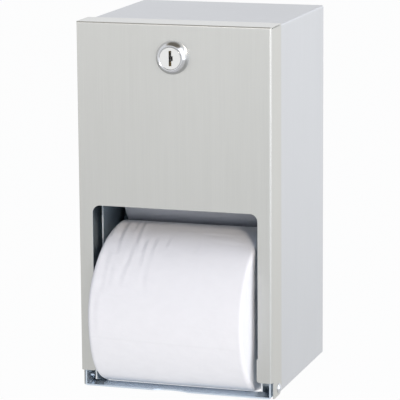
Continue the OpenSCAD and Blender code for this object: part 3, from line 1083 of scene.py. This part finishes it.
@dataclass(frozen=True)
class Pleat:
    """A pleat where the sheet creeps sideways under the reserve roll, traced on the photograph."""

    # pixels of the 400 pixel frame, from the pleat's upper or left end
    trace: tuple[tuple[float, float], ...]
    width: float
    # one depth for each stretch of the trace
    depths: tuple[float, ...]
    # below this angle above the roll's front the sheet is slack, and the pleats open out
    slack_below: float = 50.0
    slack_share: float = 1.16

    def creases(self, roll: TissueRoll) -> list[Crease]:
        """Turn the trace into creases on the roll.

        Args:
            roll: the roll that has the pleat.

        Returns:
            One crease for each stretch of the trace.
        """
        places = [roll.seen_at(pixel) for pixel in self.trace]
        creases = []
        for first, last, depth in zip(places, places[1:], self.depths):
            slack = min(first[1], last[1]) < self.slack_below
            width = self.width * (self.slack_share if slack else 1.0)
            creases.append(Crease(*first, *last, width, depth))
        return creases


@dataclass(frozen=True)
class EndLean:
    """How far one end of a roll has slipped sideways, because a wound roll is never quite square."""

    rise: float = 0.0
    reach: float = 0.0
    # the most that it slips either way, which keeps it off the side plates
    most: float = 4.1 * MM

    def shift(self, turn: float) -> float:
        """Give the slip along the axis at an angle above the roll's front, in metres."""
        slip = self.rise * math.sin(turn) * abs(math.sin(turn)) + self.reach * math.cos(turn)
        return self.most * math.tanh(slip / self.most)


@dataclass(frozen=True)
class Station:
    """One point of a roll's cross-section along its axis."""

    x: float
    radius: float
    outer: bool


@dataclass
class TissueRoll:
    """One wound roll: its outer spiral with a soft loose edge, its leaning cut ends and its bore."""

    name: str
    body: str
    paper: str
    core: str
    left: EndLean = EndLean()
    right: EndLean = EndLean()
    pleats: tuple[Pleat, ...] = ()
    ply: float = 0.16 * MM
    # the loose edge: its angle above the front at the left end, and how much lower it is at the right
    tail_turn: float = -13.9
    tail_skew: float = 3.0
    # towards the right the edge lies flat and can't be seen
    tail_fades_at: float = 50 * MM
    tail_fades_over: float = 8 * MM
    tail_width: float = 0.6 * MM
    # the roll sags out of round where it faces the rail: how much at its middle and towards the right
    sag_turn: float = -78.0
    sag_spread: float = 24.0
    sag_middle: float = 0.0
    sag_right: float = 0.0
    columns: int = 140
    rows: int = 400
    rings: int = 26
    corner_steps: int = 5
    edge_radius: float = 1.4 * MM
    # the turns don't stand quite level at the cut ends
    unevenness: float = 0.25 * MM
    seed: int = 7
    camera: PhotoCamera = field(default_factory=PhotoCamera)

    def __post_init__(self) -> None:
        """Read the roll's place and sizes from the frame, and lay the pleats on it."""
        low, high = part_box(self.core)
        self.axis_y, self.axis_z = (low.y + high.y) / 2, (low.z + high.z) / 2
        self.core_radius = (high.z - low.z) / 2
        self.half = (high.x - low.x) / 2
        low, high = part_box(self.paper)
        self.radius = max(self.axis_y - low.y, high.z - self.axis_z)
        self.creases = [crease for pleat in self.pleats for crease in pleat.creases(self)]

    def seen_at(self, pixel: tuple[float, float]) -> tuple[float, float]:
        """Find the place on the roll that the photograph shows at a pixel.

        Args:
            pixel: its place in the 400 pixel frame, from the left and from the top.

        Returns:
            The place along the axis, in metres, as it was before the ends slipped, and the angle above
            the front, in degrees.
        """
        eye, sight = self.camera.sight(pixel)
        off_y, off_z = eye.y - self.axis_y, eye.z - self.axis_z
        square = sight.y**2 + sight.z**2
        slant = off_y * sight.y + off_z * sight.z
        rest = off_y**2 + off_z**2 - self.radius**2
        hit = eye - sight * ((slant + math.sqrt(slant**2 - square * rest)) / square)
        turn = math.atan2(hit.z - self.axis_z, self.axis_y - hit.y)
        return hit.x - self.lean(hit.x, self.radius, turn), math.degrees(turn)

    def tail_at(self, x: float) -> float:
        """Give the loose edge's angle at a place along the roll, in radians."""
        return math.radians(self.tail_turn - self.tail_skew * (x + self.half) / (2 * self.half))

    def relief(self, x: float, turn: float, share: float) -> float:
        """Give the height of the outer sheet over the nominal radius.

        Args:
            x: distance along the axis, in metres.
            turn: angle above the front, in radians.
            share: the part of a whole turn gone since the loose edge, from 0 to 1.

        Returns:
            The height, in metres.
        """
        faded = min(max((x - self.tail_fades_at) / self.tail_fades_over, 0.0), 1.0)
        ramp = self.tail_width / (math.tau * self.radius)
        fallen = share if share < 1 - ramp else (1 - share) * (1 - ramp) / ramp
        height = -self.ply * (1 - faded) * fallen
        angle = math.remainder(turn - math.radians(self.sag_turn), math.tau)
        place = math.exp(-((angle / math.radians(self.sag_spread)) ** 2))
        height += place * (self.sag_middle + self.sag_right * x / self.half)
        wrapped = math.remainder(turn - math.pi / 2, math.tau) + math.pi / 2
        return height + sum(crease.lift(x, wrapped, self.radius) for crease in self.creases)

    def lean(self, x: float, radius: float, turn: float) -> float:
        """Give the sideways slip of a point of the roll, which grows from the core outwards.

        Args:
            x: distance along the axis, in metres.
            radius: distance from the axis, in metres.
            turn: angle above the front, in radians.

        Returns:
            The slip along the axis, in metres.
        """
        part = (x + self.half) / (2 * self.half)
        slip = self.left.shift(turn) * (1 - part) + self.right.shift(turn) * part
        return slip * (radius - self.core_radius) / (self.radius - self.core_radius)

    def stations(self) -> list[Station]:
        """List the points across the roll: up the left end, over the surface and down the right end.

        Returns:
            The stations in order round the cross-section.
        """
        rng = random.Random(self.seed)
        flat = self.half - self.edge_radius
        reach = self.radius - self.edge_radius - self.core_radius
        end: list[Station] = []
        for ring in range(self.rings):
            inset = rng.uniform(0.0, self.unevenness) if ring else 0.0
            end.append(Station(self.half - inset, self.core_radius + reach * ring / self.rings, False))
        for step in range(self.corner_steps + 1):
            angle = math.pi / 2 * step / self.corner_steps
            x = flat + self.edge_radius * math.cos(angle)
            radius = self.radius - self.edge_radius * (1 - math.sin(angle))
            end.append(Station(x, radius, True))
        middle = [
            Station(-flat + 2 * flat * k / self.columns, self.radius, True)
            for k in range(1, self.columns)
        ]
        left = [Station(-point.x, point.radius, point.outer) for point in end]
        return left + middle + end[::-1]

    def shares(self) -> list[float]:
        """List the parts of a turn at which the rows stand, closer together on the loose edge."""
        ramp = self.tail_width / (math.tau * self.radius)
        even = [(1 - ramp) * row / self.rows for row in range(self.rows + 1)]
        return even + [1 - ramp * (1 - step / 3) for step in (1, 2)]

    def point(self, station: Station, share: float) -> tuple[float, float, float]:
        """Place one station at one part of a turn.

        Args:
            station: the point of the cross-section.
            share: the part of a whole turn gone since the loose edge, from 0 to 1.

        Returns:
            The point in metres in the frame.
        """
        turn = self.tail_at(station.x) + math.tau * share
        x = station.x + self.lean(station.x, station.radius, turn)
        radius = station.radius
        if station.outer:
            radius += self.relief(station.x, turn, share)
        y = self.axis_y - radius * math.cos(turn)
        z = self.axis_z + radius * math.sin(turn)
        return x, y, z

    def build(self, tissue: bpy.types.Material, edges: bpy.types.Material) -> bpy.types.Object:
        """Make the paper, put it in place of the CAD solid and let it ride.

        Args:
            tissue: the material of the outer surface.
            edges: the material of the cut ends.

        Returns:
            The paper's object.
        """
        stations = self.stations()
        mesh = bmesh.new()
        grid = [
            [mesh.verts.new(self.point(station, share)) for station in stations]
            for share in self.shares()
        ]
        width = len(stations)
        for row, lower in enumerate(grid):
            upper = grid[(row + 1) % len(grid)]
            for k in range(width):
                after = (k + 1) % width
                face = mesh.faces.new((lower[k], lower[after], upper[after], upper[k]))
                face.smooth = True
                face.material_index = 0 if stations[k].outer and stations[after].outer else 1
        bmesh.ops.recalc_face_normals(mesh, faces=mesh.faces)
        data = bpy.data.meshes.new(self.name)
        mesh.to_mesh(data)
        mesh.free()
        data.materials.append(tissue)
        data.materials.append(edges)
        piece = bpy.data.objects.new(self.name, data)
        bpy.context.scene.collection.objects.link(piece)
        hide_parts(self.paper)
        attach(piece, self.body)
        LOG.info("wound %s on %s", self.name, self.body)
        return piece


PLEATS = (
    # the strong ones start where the reserve roll lies on the sheet
    Pleat(((121, 221), (115, 227), (111, 236)), 2.4 * MM, (1.05 * MM, 0.8 * MM)),
    Pleat(((131, 221.5), (126, 228), (121, 239), (118, 252)), 2.5 * MM, (1.1 * MM, 0.95 * MM, 0.45 * MM)),
    Pleat(((140, 222), (136, 229)), 2.1 * MM, (0.7 * MM,)),
    Pleat(((146, 222.5), (141, 231), (137, 243)), 2.5 * MM, (1.0 * MM, 0.7 * MM)),
    # lower down and to the right they are shallow
    Pleat(((147, 240), (144, 250), (140, 267)), 2.25 * MM, (0.65 * MM, 0.35 * MM)),
    Pleat(((134, 246), (128, 264)), 2.25 * MM, (0.45 * MM,)),
    Pleat(((110, 252), (106, 270), (102, 290)), 2.75 * MM, (0.45 * MM, 0.35 * MM)),
    Pleat(((158, 238), (152, 252), (148, 268)), 2.5 * MM, (0.4 * MM, 0.25 * MM)),
    Pleat(((172, 236), (166, 248)), 2.4 * MM, (0.4 * MM,)),
    Pleat(((128, 262), (120, 284)), 2.5 * MM, (0.35 * MM,)),
    Pleat(((114, 262), (109, 286)), 2.5 * MM, (0.3 * MM,)),
    Pleat(((97, 296), (95, 330)), 2.75 * MM, (0.25 * MM,)),
    Pleat(((146, 264), (145, 288)), 2.5 * MM, (0.25 * MM,)),
    Pleat(((202, 240), (196, 252)), 2.4 * MM, (0.25 * MM,)),
    # and three run along the roll under the nip
    Pleat(((178, 231), (198, 232)), 2.0 * MM, (0.25 * MM,)),
    Pleat(((206, 234), (232, 236)), 2.1 * MM, (0.3 * MM,)),
    Pleat(((214, 241), (244, 245)), 2.25 * MM, (0.25 * MM,)),
)


@dataclass
class RollStore:
    """Both rolls with their cores and spindles."""

    nodes: dict[str, bpy.types.Object]
    tissue: CrepedTissue = field(default_factory=lambda: CrepedTissue("creped_tissue"))
    board: KraftBoard = field(default_factory=lambda: KraftBoard("core_board"))
    plastic: MouldedAbs = field(default_factory=lambda: MouldedAbs("spindle_plastic"))

    def rolls(self) -> tuple[TissueRoll, ...]:
        """Name the rolls, with how each one leans.

        Returns:
            The roll in use and the roll in reserve.
        """
        in_use = TissueRoll(
            "roll_in_use_paper",
            "roll_in_use",
            "in_use_paper",
            "in_use_core",
            left=EndLean(4.6 * MM, -0.8 * MM, 5.0 * MM),
            right=EndLean(2.0 * MM, -0.65 * MM),
            pleats=PLEATS,
            sag_middle=0.4 * MM,
            sag_right=0.05 * MM,
            edge_radius=2.8 * MM,
        )
        reserve = TissueRoll(
            "reserve_roll_paper",
            "roll_in_reserve",
            "reserve_paper",
            "reserve_core",
            left=EndLean(2.6 * MM, 6.4 * MM, 4.6 * MM),
            right=EndLean(0.0, 1.5 * MM),
            tail_turn=35.0,
            columns=50,
            rows=220,
            seed=11,
        )
        return in_use, reserve

    def build(self) -> None:
        """Wind the rolls and dress the cores and spindles."""
        tissue, board, plastic = self.tissue.material(), self.board.material(), self.plastic.material()
        for roll in self.rolls():
            edges = TissueEdges(roll.name + "_ends", roll.axis_y, roll.axis_z).material()
            roll.build(tissue, edges)
            dress_node(self.nodes[roll.core], board)
        for name in ("in_use_spindle", "reserve_spindle"):
            dress_node(self.nodes[name], plastic)
            soften(self.nodes[name], 0.3 * MM)


def main() -> None:
    """Load the frame, dress it and hand the scene over."""
    logging.basicConfig(level=logging.INFO, format="%(name)s: %(message)s")
    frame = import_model()
    nodes: dict[str, bpy.types.Object] = frame["nodes"]
    PhotoCamera().build()
    Studio().build()
    Sheetwork(nodes).dress()
    TumblerLock(nodes).dress()
    RollStore(nodes).build()


if __name__ == "__main__":
    main()
